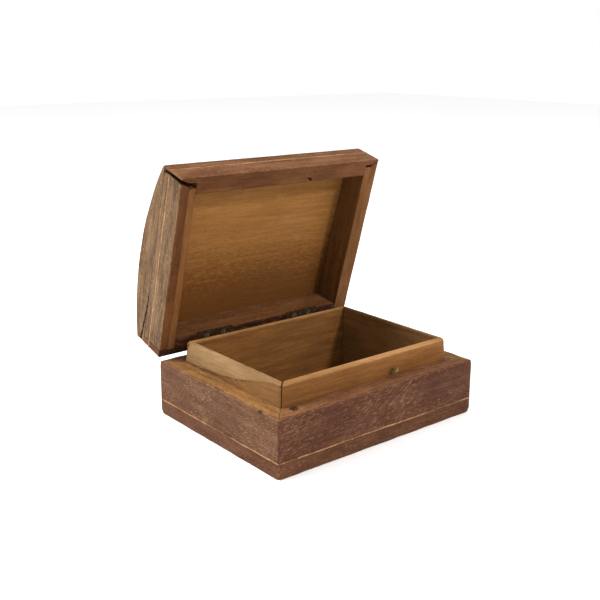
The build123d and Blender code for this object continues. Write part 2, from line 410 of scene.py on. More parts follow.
def blend_colour(tree, share, first, second):
    """Mixes two colours, each a socket or a plain colour, by a share that changes over the surface."""
    mixer = add_node(tree, "ShaderNodeMix", data_type="RGBA")
    tree.links.new(share, mixer.inputs["Factor"])
    for socket, value in zip((mixer.inputs[6], mixer.inputs[7]), (first, second)):
        if isinstance(value, tuple):
            socket.default_value = value
        else:
            tree.links.new(value, socket)
    return mixer.outputs[2]


def raise_surface(tree, shader, height, strength, distance):
    """Turns a height that changes over the surface into the shader's normal."""
    relief = add_node(tree, "ShaderNodeBump", {"Strength": strength, "Distance": distance})
    tree.links.new(height, relief.inputs["Height"])
    tree.links.new(relief.outputs["Normal"], shader.inputs["Normal"])


def group_with(name, inputs, outputs):
    """An empty shader group with its sockets, and its two end nodes."""
    group = bpy.data.node_groups.new(name, "ShaderNodeTree")
    for socket_name, kind in inputs:
        group.interface.new_socket(socket_name, in_out="INPUT", socket_type=kind)
    for socket_name, kind in outputs:
        group.interface.new_socket(socket_name, in_out="OUTPUT", socket_type=kind)
    return group, group.nodes.new("NodeGroupInput"), group.nodes.new("NodeGroupOutput")


FLOAT, VECTOR = "NodeSocketFloat", "NodeSocketVector"
FIGURES = ("Streaks", "Fibres", "Flecks", "Pores", "Blotches", "Scratches")
wood_figure, figure_in, figure_out = group_with(
    "wood_figure", [("Grain", VECTOR)], [(figure, FLOAT) for figure in FIGURES]
)
grain = figure_in.outputs["Grain"]
streaks = stretched_noise(wood_figure, grain, (0.025, 0.30, 0.30), (3, 5, 7), 4, 0.6, 0.6)
fibres = stretched_noise(wood_figure, grain, (0.09, 1.5, 1.5), (11, 2, 4), 3, 0.6, 0.2)
flecks = stretched_noise(wood_figure, grain, (0.40, 2.3, 2.3), (6, 13, 1), 2, 0.55, 0.0, 0.25)
pores = stretched_noise(wood_figure, grain, (0.16, 1.5, 1.5), (23, 3, 17), 1.5)
blotches = stretched_noise(wood_figure, grain, (0.035, 0.075, 0.075), (2, 8, 31), 3)
scratches = stretched_noise(wood_figure, grain, (0.16, 1.3, 1.3), (17, 19, 29), 2, 0.6, 0.0, 0.75)
clusters = stretched_noise(wood_figure, grain, (0.05, 0.06, 0.06), (41, 7, 13), 3)
fleck_crowd = window(wood_figure, clusters, 0.30, 0.62, 0.35, 1.0)
scratch_crowd = window(wood_figure, clusters, 0.40, 0.66)
for figure, value in zip(FIGURES, (
    window(wood_figure, streaks, 0.34, 0.66),
    window(wood_figure, fibres, 0.3, 0.7),
    combine(wood_figure, "MULTIPLY", window(wood_figure, flecks, 0.55, 0.66), fleck_crowd),
    window(wood_figure, pores, 0.60, 0.68),
    window(wood_figure, blotches, 0.38, 0.62),
    combine(wood_figure, "MULTIPLY", window(wood_figure, scratches, 0.56, 0.70), scratch_crowd),
)):
    wood_figure.links.new(value, figure_out.inputs[figure])

# How far an edge has been rubbed bare, or dirt has settled and painted shade is laid, broken up by
# noise.
edge_rub, rub_in, rub_out = group_with(
    "edge_rub", [("Grain", VECTOR), ("Edge", FLOAT), ("Raggedness", FLOAT)], [("Mask", FLOAT)]
)
ragged = stretched_noise(edge_rub, rub_in.outputs["Grain"], (0.22, 0.6, 0.6), (9, 9, 9), 3, 0.65)
swing = window(edge_rub, ragged, 0.3, 0.7, -0.7, 0.5)
swing = combine(edge_rub, "MULTIPLY", swing, rub_in.outputs["Raggedness"])
broken = combine(edge_rub, "MULTIPLY", rub_in.outputs["Edge"], combine(edge_rub, "ADD", swing, 1.0))
edge_rub.links.new(window(edge_rub, broken, 0.25, 0.8), rub_out.inputs["Mask"])

SHADE_SHARE = 0.55
STREAK_SHARE = 0.6
BARE_RAGGED = 0.35
CLEAN_ROUGH, BLOTCHED_ROUGH = 0.5, 0.7
WOOD_GLOSS = 0.06
RELIEF_STRENGTH = 0.25
RELIEF_DISTANCE = 0.0003


def wood_finish(name, dark, light, fleck_colour, flecks=0.5, pores=0.4, blotch=0.35, scratch=0.0,
                bare=None, worn=None, dirt_and_shade=None, worn_amount=0.6, dirt_and_shade_amount=0.8,
                worn_ragged=1.0, dirt_and_shade_ragged=1.0, turned=False):
    """A wood with its finish. Streaks and fibres run from `dark` to `light`; pale flecks, dark pores,
    blotches and scratches lie over them; `bare` shows on top edges, `worn` where edges are rubbed
    and the dirt colour in the joints, which also lays painted shade in some creases and undersides.
    `turned` runs the grain from front to back."""
    material, tree, shader = blank_material(name)
    own = add_node(tree, "ShaderNodeAttribute", attribute_name="grain").outputs["Vector"]
    if turned:
        across = add_node(tree, "ShaderNodeMapping", {"Rotation": (0, 0, math.pi / 2)})
        tree.links.new(own, across.inputs["Vector"])
        own = across.outputs["Vector"]
    figure = add_node(tree, "ShaderNodeGroup", node_tree=wood_figure)
    tree.links.new(own, figure.inputs["Grain"])
    out = figure.outputs

    def mark(attribute):
        """One of the marks kept on the piece's points."""
        return add_node(tree, "ShaderNodeAttribute", attribute_name=attribute).outputs["Fac"]

    def rubbed(attribute, raggedness):
        """The same mark with its outline broken up."""
        rub = add_node(tree, "ShaderNodeGroup", {"Raggedness": raggedness}, node_tree=edge_rub)
        tree.links.new(own, rub.inputs["Grain"])
        tree.links.new(mark(attribute), rub.inputs["Edge"])
        return rub.outputs["Mask"]

    def lay_over(under, mask, amount, over):
        """Mixes a colour into another by a mask times an amount."""
        return blend_colour(tree, combine(tree, "MULTIPLY", mask, amount), under, over)

    tone = combine(
        tree, "ADD", combine(tree, "MULTIPLY", out["Streaks"], STREAK_SHARE),
        combine(tree, "MULTIPLY", out["Fibres"], 1 - STREAK_SHARE),
    )
    colour = blend_colour(tree, tone, dark, light)
    if bare is not None:
        bare_tone = blend_colour(tree, tone, *bare)
        colour = blend_colour(tree, rubbed("bare", BARE_RAGGED), colour, bare_tone)
    shade = tuple(SHADE_SHARE * part for part in dark[:3]) + (1.0,)
    colour = lay_over(colour, out["Blotches"], blotch, shade)
    colour = lay_over(colour, out["Pores"], pores, shade)
    colour = lay_over(colour, out["Flecks"], flecks, fleck_colour)
    if scratch:
        colour = lay_over(colour, out["Scratches"], scratch, fleck_colour)
    if worn is not None:
        colour = lay_over(colour, rubbed("arris", worn_ragged), worn_amount, worn)
    if dirt_and_shade is not None:
        colour = lay_over(colour, rubbed("grime", dirt_and_shade_ragged), dirt_and_shade_amount, dirt_and_shade)
    tree.links.new(colour, shader.inputs["Base Color"])
    roughness = window(tree, out["Blotches"], 0, 1, CLEAN_ROUGH, BLOTCHED_ROUGH)
    tree.links.new(roughness, shader.inputs["Roughness"])
    height = combine(tree, "SUBTRACT", combine(tree, "MULTIPLY", out["Fibres"], 0.5), out["Pores"])
    raise_surface(tree, shader, height, RELIEF_STRENGTH, RELIEF_DISTANCE)
    shader.inputs["Specular IOR Level"].default_value = WOOD_GLOSS
    return material


plinth_wood = wood_finish(
    "plinth_wood", tint(62, 36, 22), tint(84, 52, 34), tint(132, 96, 66), flecks=0.4, pores=0.3,
    worn=tint(140, 100, 68), dirt_and_shade=tint(38, 22, 14),
)

MITRE_FRONT = SIDE_WALL / END_WALL
SIDES = {
    "front": (BOX_HALF_WIDTH, END_WALL, MITRE_FRONT),
    "back": (BOX_HALF_WIDTH, END_WALL, MITRE_FRONT),
    "left": (BOX_HALF_DEPTH, SIDE_WALL, 1 / MITRE_FRONT),
    "right": (BOX_HALF_DEPTH, SIDE_WALL, 1 / MITRE_FRONT),
}
STRING_DEPTH = 1.0
GROOVE_ROOM = 0.1
SLOW_STRAY = 0.154
SLOW_PITCH = 14
QUICK_STRAY = 0.11
QUICK_PITCH = 3.5
BASE_STRING_SEED = 40


def wander(place, side_seed):
    """How far a string strays up or down along its length: a slow and a quick drift added."""
    slow = drift_along(place, SLOW_PITCH, side_seed)
    quick = drift_along(place, QUICK_PITCH, side_seed + 1)
    return SLOW_STRAY * slow + QUICK_STRAY * quick


def near_face(deep):
    """1 in the outer millimetre of a board, where a string is let in, and 0 behind it."""
    return (deep <= STRING_DEPTH + GROOVE_ROOM).astype(float)


def foot_corner(up):
    """The radius of a plinth's corner in plan: widest at the floor, and the wall's own higher up."""
    return CORNER_ROUND + (FOOT_ROUND - CORNER_ROUND) * np.clip(1 - FOOT_FADE * up, 0, 1) ** 2


for number, (side, (reach, wall, slope)) in enumerate(SIDES.items()):
    string_seed = BASE_STRING_SEED + 2 * number
    points, faces, marks = shape_board(
        side, (-reach, reach), (0, wall), (0, PLINTH_HEIGHT), slopes=(slope, slope),
        rounds=(0.12, 0.2, 1.3, 0.4), wear=0.25,
        crown=lambda place, deep: PLINTH_HEIGHT + wander(place, string_seed) * near_face(deep),
        corner=foot_corner,
        worn_edges=(("outer_low", 0.9), ("start_corner", 0.9), ("end_corner", 0.9)),
        dirty_edges=(("outer_top", 0.8), ("start", 0.3), ("end", 0.3)), seed=10 + number,
    )
    piece = make_piece(f"plinth_{side}", points, faces, marks, [plinth_wood] * 6)
    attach(piece, "base")
    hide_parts(f"base_{side}_plinth")

# Base strings. A thin strip of pale wood let in flush round the outside, on top of the plinth; it
# was cut by hand and its edges stray a little.
STRING_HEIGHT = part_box("base_front_string")[1].z / MM - PLINTH_HEIGHT
STRING_PROUD = 0.05
STRING_EDGE_STRAY = 0.12
STRING_EDGE_PITCH = 5
string_wood = wood_finish(
    "string_wood", tint(112, 76, 50), tint(150, 110, 75), tint(186, 146, 104), pores=0.6,
    blotch=0.6, dirt_and_shade=tint(58, 36, 24), dirt_and_shade_amount=0.6,
)


def string_board(side, span, low, slopes, corner, string_seed, seed):
    """A string: its lower edge follows its groove's, its upper edge strays a little more, and the
    whole stands a hair proud of the board."""
    def lower(place, deep):
        return wander(place, string_seed)

    def upper(place, deep):
        stray = STRING_EDGE_STRAY * drift_along(place, STRING_EDGE_PITCH, string_seed + 7)
        return STRING_HEIGHT + wander(place, string_seed) + stray

    points, faces, marks = shape_board(
        side, span, (0, STRING_DEPTH), (low, low + STRING_HEIGHT), slopes=slopes,
        rounds=(0.1, 0.1, 0.1, 0.1), foot=lower, crown=upper, corner=corner,
        dirty_edges=(("outer_top", 0.5), ("outer_low", 0.5)), seed=seed,
    )
    outward = stand(side, 0.0, -STRING_PROUD, 0.0) - stand(side, 0.0, 0.0, 0.0)
    return points + outward, faces, marks


for number, (side, (reach, wall, slope)) in enumerate(SIDES.items()):
    points, faces, marks = string_board(
        side, (-reach, reach), PLINTH_HEIGHT, (1, 1), CORNER_ROUND,
        string_seed=BASE_STRING_SEED + 2 * number, seed=20 + number,
    )
    piece = make_piece(f"string_{side}", points, faces, marks, [string_wood] * 6)
    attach(piece, "base")
    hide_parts(f"base_{side}_string")

# Base walls. Four stained boards mitred at the corners. Their top edges were left bare and make the
# ledge that the lid's rim comes down on; the back one is cut away for the hinge leaves.
HINGE_X = 35.0
LEAF_LENGTH = 25.4
LEAF_REACH = 13.0
KNUCKLE_GROOVE = 1.85
LEAF_ROOM = 0.05
LEAF_SINK = 1.02
lid_joint = next(j for j in frame["joints"] if j["name"] == "lid_hinge")
HINGE_Y = lid_joint["pos_m"][1] / MM
HINGE_Z = lid_joint["pos_m"][2] / MM


def leaf_recess(place, deep, from_joint):
    """How deep the wood is cut for a hinge: a flat recess for the leaf, and a round one under the
    knuckles, whose depth is that of a circle round the hinge line."""
    beside = np.abs(np.abs(place) - HINGE_X) < LEAF_LENGTH / 2 + LEAF_ROOM
    behind = HINGE_Y - (BOX_HALF_DEPTH - deep)
    flat = np.where(behind < LEAF_REACH + LEAF_ROOM, LEAF_SINK, 0)
    inside = np.maximum(KNUCKLE_GROOVE ** 2 - behind ** 2, 0)
    return beside * np.maximum(flat, np.sqrt(inside) - from_joint)


leaf_ends = [
    sign * (HINGE_X + half * LEAF_LENGTH / 2) + shift
    for sign in (-1, 1) for half in (-1, 1) for shift in (-0.06, 0.04, 0.14)
]
wall_wood = wood_finish(
    "wall_wood", tint(60, 34, 22), tint(80, 48, 33), tint(128, 92, 68), scratch=0.35,
    bare=(tint(98, 62, 38), tint(128, 87, 56)), worn=tint(132, 90, 62), dirt_and_shade=tint(36, 21, 14),
    worn_amount=0.5, worn_ragged=0.5,
)
end_wall_wood = wood_finish(
    "end_wall_wood", tint(66, 41, 27), tint(90, 59, 40), tint(154, 120, 84), scratch=0.35,
    bare=(tint(104, 68, 34), tint(144, 104, 58)), worn=tint(142, 103, 68), dirt_and_shade=tint(36, 21, 14),
    worn_amount=0.5, worn_ragged=0.6,
)
WALL_HEIGHT = WALL_TOP - PLINTH_HEIGHT
WALL_CORNER_SPREAD = 1.3
WALL_CORNER_FROM = 0.85
# dark places in the ledge: x, y and reach
KNOTS = ((-58.7, -50.9, 2.0), (-75.0, -42.6, 1.2))
KNOT_DARKNESS = 3.0
KNOT_DEPTH = 1.6
# chips and dents along the ledge, each a ball pressed in: how far its centre stands from the front
# left corner, inside the face and above the ledge, and its radius
LEFT_CHIPS = ((15.9, -1.0, 0.9, 2.2), (21, -0.9, 0.7, 1.6))
FRONT_CHIPS = ((16.3, 7.6, 1.6, 2.8), (20, -0.8, 0.9, 1.5), (33, -1.0, 1.0, 1.8))
CHIPS = {
    "left": [(BOX_HALF_DEPTH - far, deep, WALL_TOP + up, size) for far, deep, up, size in LEFT_CHIPS],
    "front": [(far - BOX_HALF_WIDTH, deep, WALL_TOP + up, size) for far, deep, up, size in FRONT_CHIPS],
}


def ledge_corner(up):
    """The radius of a wall's corner in plan, which grows toward the ledge."""
    above = (up - WALL_CORNER_FROM) / (1 - WALL_CORNER_FROM)
    return CORNER_ROUND + WALL_CORNER_SPREAD * np.clip(above, 0, 1) ** 2


def hinge_wall_top(place, deep):
    """The back wall's upper face, cut away for the hinge leaves."""
    return WALL_HEIGHT - leaf_recess(place, deep, HINGE_Z - WALL_TOP)


for number, (side, (reach, wall, slope)) in enumerate(SIDES.items()):
    string_seed = BASE_STRING_SEED + 2 * number
    points, faces, marks = shape_board(
        side, (-reach, reach), (0, wall), (PLINTH_HEIGHT, WALL_TOP), slopes=(slope, slope),
        rounds=(0.95, 0.2, 0.12, 0.1), wear=0.6, extra=leaf_ends if side == "back" else (),
        foot=lambda place, deep: (STRING_HEIGHT + wander(place, string_seed)) * near_face(deep),
        crown=hinge_wall_top if side == "back" else None,
        corner=ledge_corner, scoops=CHIPS.get(side, ()),
        worn_edges=(("outer_top", 0.85), ("start_corner", 0.7), ("end_corner", 0.7)),
        dirty_edges=(("outer_low", 0.7), ("inner_top", 0.5), ("start", 0.8), ("end", 0.8)),
        seed=30 + number,
    )
    for knot_x, knot_y, knot_reach in KNOTS:
        from_knot = np.hypot(points[:, 0] - knot_x, points[:, 1] - knot_y)
        near_top = points[:, 2] > WALL_TOP - KNOT_DEPTH
        marks["grime"] += KNOT_DARKNESS * np.exp(-(from_knot / knot_reach) ** 2) * near_top
    board_wood = end_wall_wood if side in ("left", "right") else wall_wood
    piece = make_piece(f"wall_{side}", points, faces, marks, [board_wood] * 6)
    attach(piece, "base")
    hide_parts(f"base_{side}_wall")

# Bottom. One thin board of paler wood, let up into a rebate in the plinth, glued, and flush with it
# underneath.
bottom_low, bottom_high = (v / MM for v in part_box("base_bottom_panel"))
bottom_wood = wood_finish(
    "bottom_wood", tint(106, 66, 30), tint(136, 90, 46), tint(150, 106, 60), flecks=0.2, pores=0.5,
    blotch=0.5, dirt_and_shade=tint(44, 28, 18),
)
points, faces, marks = shape_board(
    "front", (bottom_low.x, bottom_high.x),
    (BOX_HALF_DEPTH + bottom_low.y, BOX_HALF_DEPTH + bottom_high.y), (bottom_low.z, bottom_high.z),
    rounds=(0.15, 0.15, 0.3, 0.3), step=2.5,
    dirty_edges=(("outer_low", 0.8), ("inner_low", 0.8), ("start", 0.8), ("end", 0.8)), seed=51,
)
piece = make_piece("bottom_board", points, faces, marks, [bottom_wood] * 6)
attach(piece, "base")
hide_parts("base_bottom_panel")

# Liner. Four thin pale boards glued inside the walls and standing above them, mitred, with their top
# outer edges rounded to guide the lid. The left one is planed to a bevel that dies out toward the
# front, and the front left mitre has come open at the top.
LINER_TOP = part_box("liner_front_board")[1].z / MM
LINER_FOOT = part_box("liner_front_board")[0].z / MM
LINER_THICKNESS = 3.6
LINER_ROUND = 2.4
LINER_STRETCH = 1.25
LINER_CORNER = 1.2
LINER_CORNER_SPREAD = 2.2
OPEN_MITRE = 1.4
OPEN_MITRE_FROM = 0.62
BARE_REACH = 2.4
BARE_BLUR = 1.6
# how dark the painted shade line is where the liner rises from the ledge
LEDGE_PAINTED_SHADE = 0.5
# the left board's bevel, from its back end to its front one: places, heights and depths, and how
# dark the painted shadow line along its lower edge is at four places
BEVEL_PLACES = (-46, -28, -11, 6, 22, 40)
BEVEL_HEIGHTS = (12.5, 12.3, 11.5, 9.2, 5.6, 2.2)
BEVEL_DEPTHS = (3.2, 3.1, 2.9, 2.6, 2.1, 1.5)
BEVEL_BLUR = 1.5
LINE_PLACES = (-40, -25, 10, 40)
BEVEL_SHADOW_DARKNESS = (0.2, 0.9, 0.9, 0.45)
LINE_WIDTH = 0.5
LINE_STRAY = 0.3
liner_wood = wood_finish(
    "liner_wood", tint(94, 58, 26), tint(118, 78, 40), tint(144, 104, 62), flecks=0.15, pores=0.25,
    blotch=0.25, bare=(tint(128, 90, 52), tint(150, 110, 70)), worn=tint(162, 120, 78),
    dirt_and_shade=tint(58, 34, 14), worn_amount=0.5,
)
end_liner_wood = wood_finish(
    "end_liner_wood", tint(94, 63, 32), tint(118, 85, 50), tint(150, 116, 76), flecks=0.2, pores=0.25,
    blotch=0.25, bare=(tint(106, 80, 51), tint(130, 102, 70)), worn=tint(160, 128, 92),
    dirt_and_shade=tint(50, 34, 18), worn_amount=0.5,
)


def bevel_height(place):
    """How far down the left board's bevel reaches: the whole rise at the back, little in front."""
    return np.interp(place, BEVEL_PLACES, BEVEL_HEIGHTS)


def bevel_depth(place):
    """How deep the same bevel is cut at its top."""
    return np.interp(place, BEVEL_PLACES, BEVEL_DEPTHS)


def bevel_slope(place):
    """The bevel's height for each millimetre of its depth."""
    return bevel_height(place) / bevel_depth(place)


def liner_corner(up):
    """The radius of the liner's corner in plan, wider where it stands above the ledge."""
    return LINER_CORNER + LINER_CORNER_SPREAD * np.clip((up - 0.7) / 0.2, 0, 1)


def open_mitre(up):
    """How far the front board's left end stands back: nothing below, most at the top."""
    return OPEN_MITRE * np.clip((up - OPEN_MITRE_FROM) / (1 - OPEN_MITRE_FROM), 0, 1) ** 0.8, 0


for number, side in enumerate(("front", "back", "left", "right")):
    is_end = side in ("left", "right")
    has_bevel = side == "left"
    reach, wall = (LINER_HALF_DEPTH, SIDE_WALL) if is_end else (LINER_HALF_WIDTH, END_WALL)
    points, faces, marks = shape_board(
        side, (-reach, reach), (wall, wall + LINER_THICKNESS), (LINER_FOOT, LINER_TOP), slopes=(1, 1),
        rounds=(1.0 if has_bevel else LINER_ROUND, 0.3, 0.2, 0.2), wear=0.06,
        tall=bevel_slope if has_bevel else LINER_STRETCH, taper=bevel_depth if has_bevel else 1,
        gaps=open_mitre if side == "front" else (0, 0), corner=liner_corner,
        worn_edges=(("inner_top", 0.9),), dirty_edges=(("start", 0.35), ("end", 0.35)),
        seed=60 + number,
    )
    x, y, z = points.T
    outermost = np.maximum(np.abs(x) / LINER_HALF_WIDTH, np.abs(y) / LINER_HALF_DEPTH)
    # Painted shade: a dark line on the liner's outer face just above the ledge, where it rises from the
    # walls.
    marks["grime"] += LEDGE_PAINTED_SHADE * np.exp(-np.abs(z - WALL_TOP)) * (outermost > 0.985)
    marks["bare"] = np.clip((BARE_REACH - LINER_TOP + z) / BARE_BLUR, 0, 1)
    if has_bevel:
        below_bevel = LINER_TOP - z - bevel_height(-y) - LINE_STRAY * drift_along(-y, 8, 67)
        in_bevel = x < LINER_THICKNESS - LINER_HALF_WIDTH - 0.2
        marks["bare"] = np.clip(-below_bevel / BEVEL_BLUR, 0, 1) * in_bevel
        # Painted shadow: a dark line along the lower edge of the bevel.
        line = np.interp(-y, LINE_PLACES, BEVEL_SHADOW_DARKNESS) * np.exp(-(below_bevel / LINE_WIDTH) ** 2)
        marks["grime"] += line * (outermost > 0.9)
    board_wood = end_liner_wood if is_end else liner_wood
    piece = make_piece(f"liner_{side}", points, faces, marks, [board_wood] * 6)
    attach(piece, "base")
    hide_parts(f"liner_{side}_board")

# Catch brad. A small headed brad driven into the front liner; its head stands clear of the wood so
# that the lid's sliding rail can hook it.
SKIN_BLUR = 0.15
METAL_GLOSS = 0.15
PIT_STRENGTH = 0.3
PIT_DISTANCE = 0.0001


def metal_finish(name, bright, dull, metallic, rough, dull_share, scale):
    """A small metal fitting: bright metal under a patchy dull skin, which has its own roughness and
    is less metallic; `metallic` and `rough` are for bright and dull."""
    material, tree, shader = blank_material(name)
    place = add_node(tree, "ShaderNodeTexCoord").outputs["Object"]
    patches = stretched_noise(tree, place, (scale,) * 3, (3, 1, 4), 4, 0.65)
    skin_share = window(tree, patches, dull_share - SKIN_BLUR, dull_share + SKIN_BLUR, 1.0, 0.0)
    tree.links.new(blend_colour(tree, skin_share, bright, dull), shader.inputs["Base Color"])
    tree.links.new(window(tree, skin_share, 0, 1, *rough), shader.inputs["Roughness"])
    tree.links.new(window(tree, skin_share, 0, 1, *metallic), shader.inputs["Metallic"])
    shader.inputs["Specular IOR Level"].default_value = METAL_GLOSS
    pits = stretched_noise(tree, place, (scale * 4,) * 3, (7, 2, 9), 2)
    raise_surface(tree, shader, pits, PIT_STRENGTH, PIT_DISTANCE)
    return material


def refinish(node_name, material):
    """Gives a part that keeps its own shape its finish."""
    slots = frame["nodes"][node_name].data.materials
    slots.clear()
    slots.append(material)


brad_metal = metal_finish(
    "brad_metal", tint(170, 140, 96), tint(66, 48, 28), metallic=(0.9, 0.5), rough=(0.3, 0.6),
    dull_share=0.52, scale=900,
)
refinish("catch_brad", brad_metal)

# Hinges. Two brass butt hinges let into the back wall and the lid's back rail, dark with tarnish,
# on steel screws that have kept more of their shine.
hinge_brass = metal_finish(
    "hinge_brass", tint(94, 66, 34), tint(44, 28, 13), metallic=(0.5, 0.2), rough=(0.5, 0.75),
    dull_share=0.62, scale=420,
)
screw_metal = metal_finish(
    "screw_metal", tint(186, 164, 126), tint(84, 68, 46), metallic=(0.9, 0.6), rough=(0.3, 0.55),
    dull_share=0.5, scale=700,
)
for node_name in frame["nodes"]:
    if node_name.startswith("hinge_"):
        refinish(node_name, screw_metal if node_name.endswith("screws") else hinge_brass)

# Lid rails. Stained like the walls: a back rail with tongues behind the side rails, two side rails,
# and a front rail whose ends run out thin over the side rails' slanted ends. The front left joint
# stands open, and the right rail's rim is as light as its lining.
LID_OPEN = -math.radians(lid_joint["range_deg"][0])
JOINT_GAP = 0.2
RIM = WALL_TOP + JOINT_GAP
RAIL_HEIGHT = 18.6
RAIL_WIDTH = 10.5
LID_STRING_LOW = 12.3
lining_low, lining_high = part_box("lid_left_lining")
LINING_OUTER = lining_low.x / MM + BOX_HALF_WIDTH
LINING_INNER = lining_high.x / MM + BOX_HALF_WIDTH
BACK_TONGUE = 4.5
CORNER_TIP = 1.1
SHOULDER = 3.5
LEFT_GAP = 1.5
RIGHT_GAP = 0.2
END_SLANT = (SHOULDER - CORNER_TIP) / LINING_OUTER
CHIPPED_END = 0.4
LINING_FIT = 0.2
SLIDE_ROOM = 0.1
# dirt and painted shade over the back rail's underside: how dark, and how far above the rim it reaches
BACK_RIM_GRIME_AND_SHADE = 0.9
BACK_RIM_GRIME_AND_SHADE_RISE = 1.3
JUMP = 0.05


def open_lid(points):
    """Turns places in the shut lid about the hinge line to where the lid stands open."""
    y = points[:, 1] - HINGE_Y
    z = points[:, 2] - HINGE_Z
    turned_y = HINGE_Y + y * math.cos(LID_OPEN) + z * math.sin(LID_OPEN)
    turned_z = HINGE_Z - y * math.sin(LID_OPEN) + z * math.cos(LID_OPEN)
    return np.stack([points[:, 0], turned_y, turned_z], -1)


lid_wood = wood_finish(
    "lid_wood", tint(78, 46, 24), tint(108, 69, 40), tint(146, 110, 72), flecks=0.35,
    blotch=0.4, scratch=0.2, worn=tint(138, 100, 62), dirt_and_shade=tint(30, 17, 10), worn_amount=0.4,
)
rim_wood = wood_finish(
    "rim_wood", tint(68, 38, 18), tint(92, 57, 30), tint(120, 82, 48), flecks=0.25,
    blotch=0.4, worn=tint(112, 76, 44), dirt_and_shade=tint(26, 12, 7), worn_amount=0.35,
)
lining_wood = wood_finish(
    "lining_wood", tint(82, 50, 24), tint(106, 69, 36), tint(124, 86, 50), flecks=0.15, pores=0.35,
    blotch=0.3, worn=tint(132, 90, 50), dirt_and_shade=tint(40, 24, 12), worn_amount=0.3,
)
lid_end_wood = wood_finish(
    "lid_end_wood", tint(54, 37, 26), tint(104, 78, 53), tint(160, 130, 84), flecks=0.3, pores=0.5,
    blotch=0.5, scratch=0.3, worn=tint(132, 100, 68), dirt_and_shade=tint(24, 14, 8), worn_amount=0.3,
)


def lid_piece(name, node_name, body, made, materials):
    """Turns a piece made in the shut lid open and puts it on its body."""
    points, faces, marks = made
    piece = make_piece(name, open_lid(points), faces, marks, materials)
    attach(piece, body)
    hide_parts(node_name)


def both_sides_of(middle, half):
    """Lattice places just short of and just past both ends of a step in a board."""
    return [middle + sign * (half + shift) for sign in (-1, 1) for shift in (-JUMP, JUMP)]


back_step = BOX_HALF_WIDTH - LINING_INNER
points, faces, marks = shape_board(
    "back", (-BOX_HALF_WIDTH, BOX_HALF_WIDTH), (0, RAIL_WIDTH), (RIM, RIM + RAIL_HEIGHT),
    rounds=(0.15, 0.2, 0.5, 0.3), extra=leaf_ends + both_sides_of(0, back_step),
    thin=lambda place, up: np.where(np.abs(place) > back_step, BACK_TONGUE, RAIL_WIDTH),
    foot=lambda place, deep: leaf_recess(place, deep, RIM - HINGE_Z),
    corner=0.7,
    worn_edges=(("outer_low", 0.8), ("start_corner", 0.8), ("end_corner", 0.8)),
    dirty_edges=(("outer_top", 0.6), ("inner_top", 0.5)), seed=71,
)
# Dirt and painted shade over the back rail's underside and its lowest edge, along its whole length.
marks["grime"] += BACK_RIM_GRIME_AND_SHADE * (points[:, 2] < RIM + BACK_RIM_GRIME_AND_SHADE_RISE)
lid_piece(
    "lid_rail_back", "lid_back_rail", "lid", (points, faces, marks),
    [lid_wood, rim_wood, lid_wood, lid_wood, rim_wood, rim_wood],
)


def chipped_end(up):
    """How far the left rail's front end stands back, which strays along the open joint."""
    return 0, CHIPPED_END + CHIPPED_END * drift_along(up * RAIL_HEIGHT, 2.5, 77)


back_end = BACK_TONGUE - BOX_HALF_DEPTH
for side, tip_gap, seed in (("left", LEFT_GAP, 72), ("right", RIGHT_GAP, 73)):
    front_end = BOX_HALF_DEPTH - CORNER_TIP - tip_gap
    if side == "left":
        span, slopes, gaps, rim = (back_end, front_end), (0, END_SLANT), chipped_end, rim_wood
    else:
        span, slopes, gaps, rim = (-front_end, -back_end), (END_SLANT, 0), (0, 0), lining_wood
    lid_piece(
        f"lid_rail_{side}", f"lid_{side}_rail", "lid",
        shape_board(
            side, span, (0, LINING_OUTER), (RIM, RIM + RAIL_HEIGHT), slopes=slopes,
            rounds=(0.12, 0.15, 0.5, 0.15), worn_edges=(("outer_low", 0.7),), gaps=gaps,
            dirty_edges=(("outer_top", 0.9), ("inner_low", 0.3), ("start", 1.6), ("end", 1.2)),
            seed=seed,
        ),
        [lid_wood, rim, lid_end_wood, rim_wood, rim_wood, rim_wood],
    )
body_reach = BOX_HALF_WIDTH - LINING_INNER - LINING_FIT
shoulder_reach = BOX_HALF_WIDTH - LINING_OUTER
brad_low, brad_high = (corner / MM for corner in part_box("catch_brad"))
BRAD_ROOM = 0.4
SLOT_CEILING = 1.2
slot_x = (brad_low.x + brad_high.x) / 2
slot_half = (brad_high.x - brad_low.x) / 2 + BRAD_ROOM
slot_floor = BOX_HALF_DEPTH + brad_low.y - BRAD_ROOM


def front_rail_depth(place, up):
    """The front rail's thickness: full between the linings, cut back where the brad's head rides in
    its slot, then a shoulder that thins out in a straight line to the tip at each corner."""
    across = np.abs(place)
    thinning = np.interp(across, [shoulder_reach, BOX_HALF_WIDTH], [SHOULDER, CORNER_TIP])
    in_slot = (np.abs(place - slot_x) < slot_half) & (up < brad_high.z - RIM + SLOT_CEILING)
    body = np.where(in_slot, slot_floor, RAIL_WIDTH)
    return np.where(across > body_reach, thinning, body)


lid_piece(
    "lid_rail_front", "lid_front_rail", "lid_front_rail",
    shape_board(
        "front", (-BOX_HALF_WIDTH, BOX_HALF_WIDTH), (0, RAIL_WIDTH),
        (RIM, RIM + RAIL_HEIGHT - SLIDE_ROOM),
        rounds=(0.15, 0.2, 0.5, 0.3), thin=front_rail_depth, corner=0.5,
        extra=both_sides_of(0, body_reach) + both_sides_of(slot_x, slot_half),
        worn_edges=(("outer_low", 0.8), ("start_corner", 0.9), ("end_corner", 0.9)),
        dirty_edges=(("outer_top", 0.8), ("inner_top", 0.5), ("start", 0.4)), seed=74,
    ),
    [lid_wood, rim_wood, lid_wood, rim_wood, lid_wood, lid_wood],
)

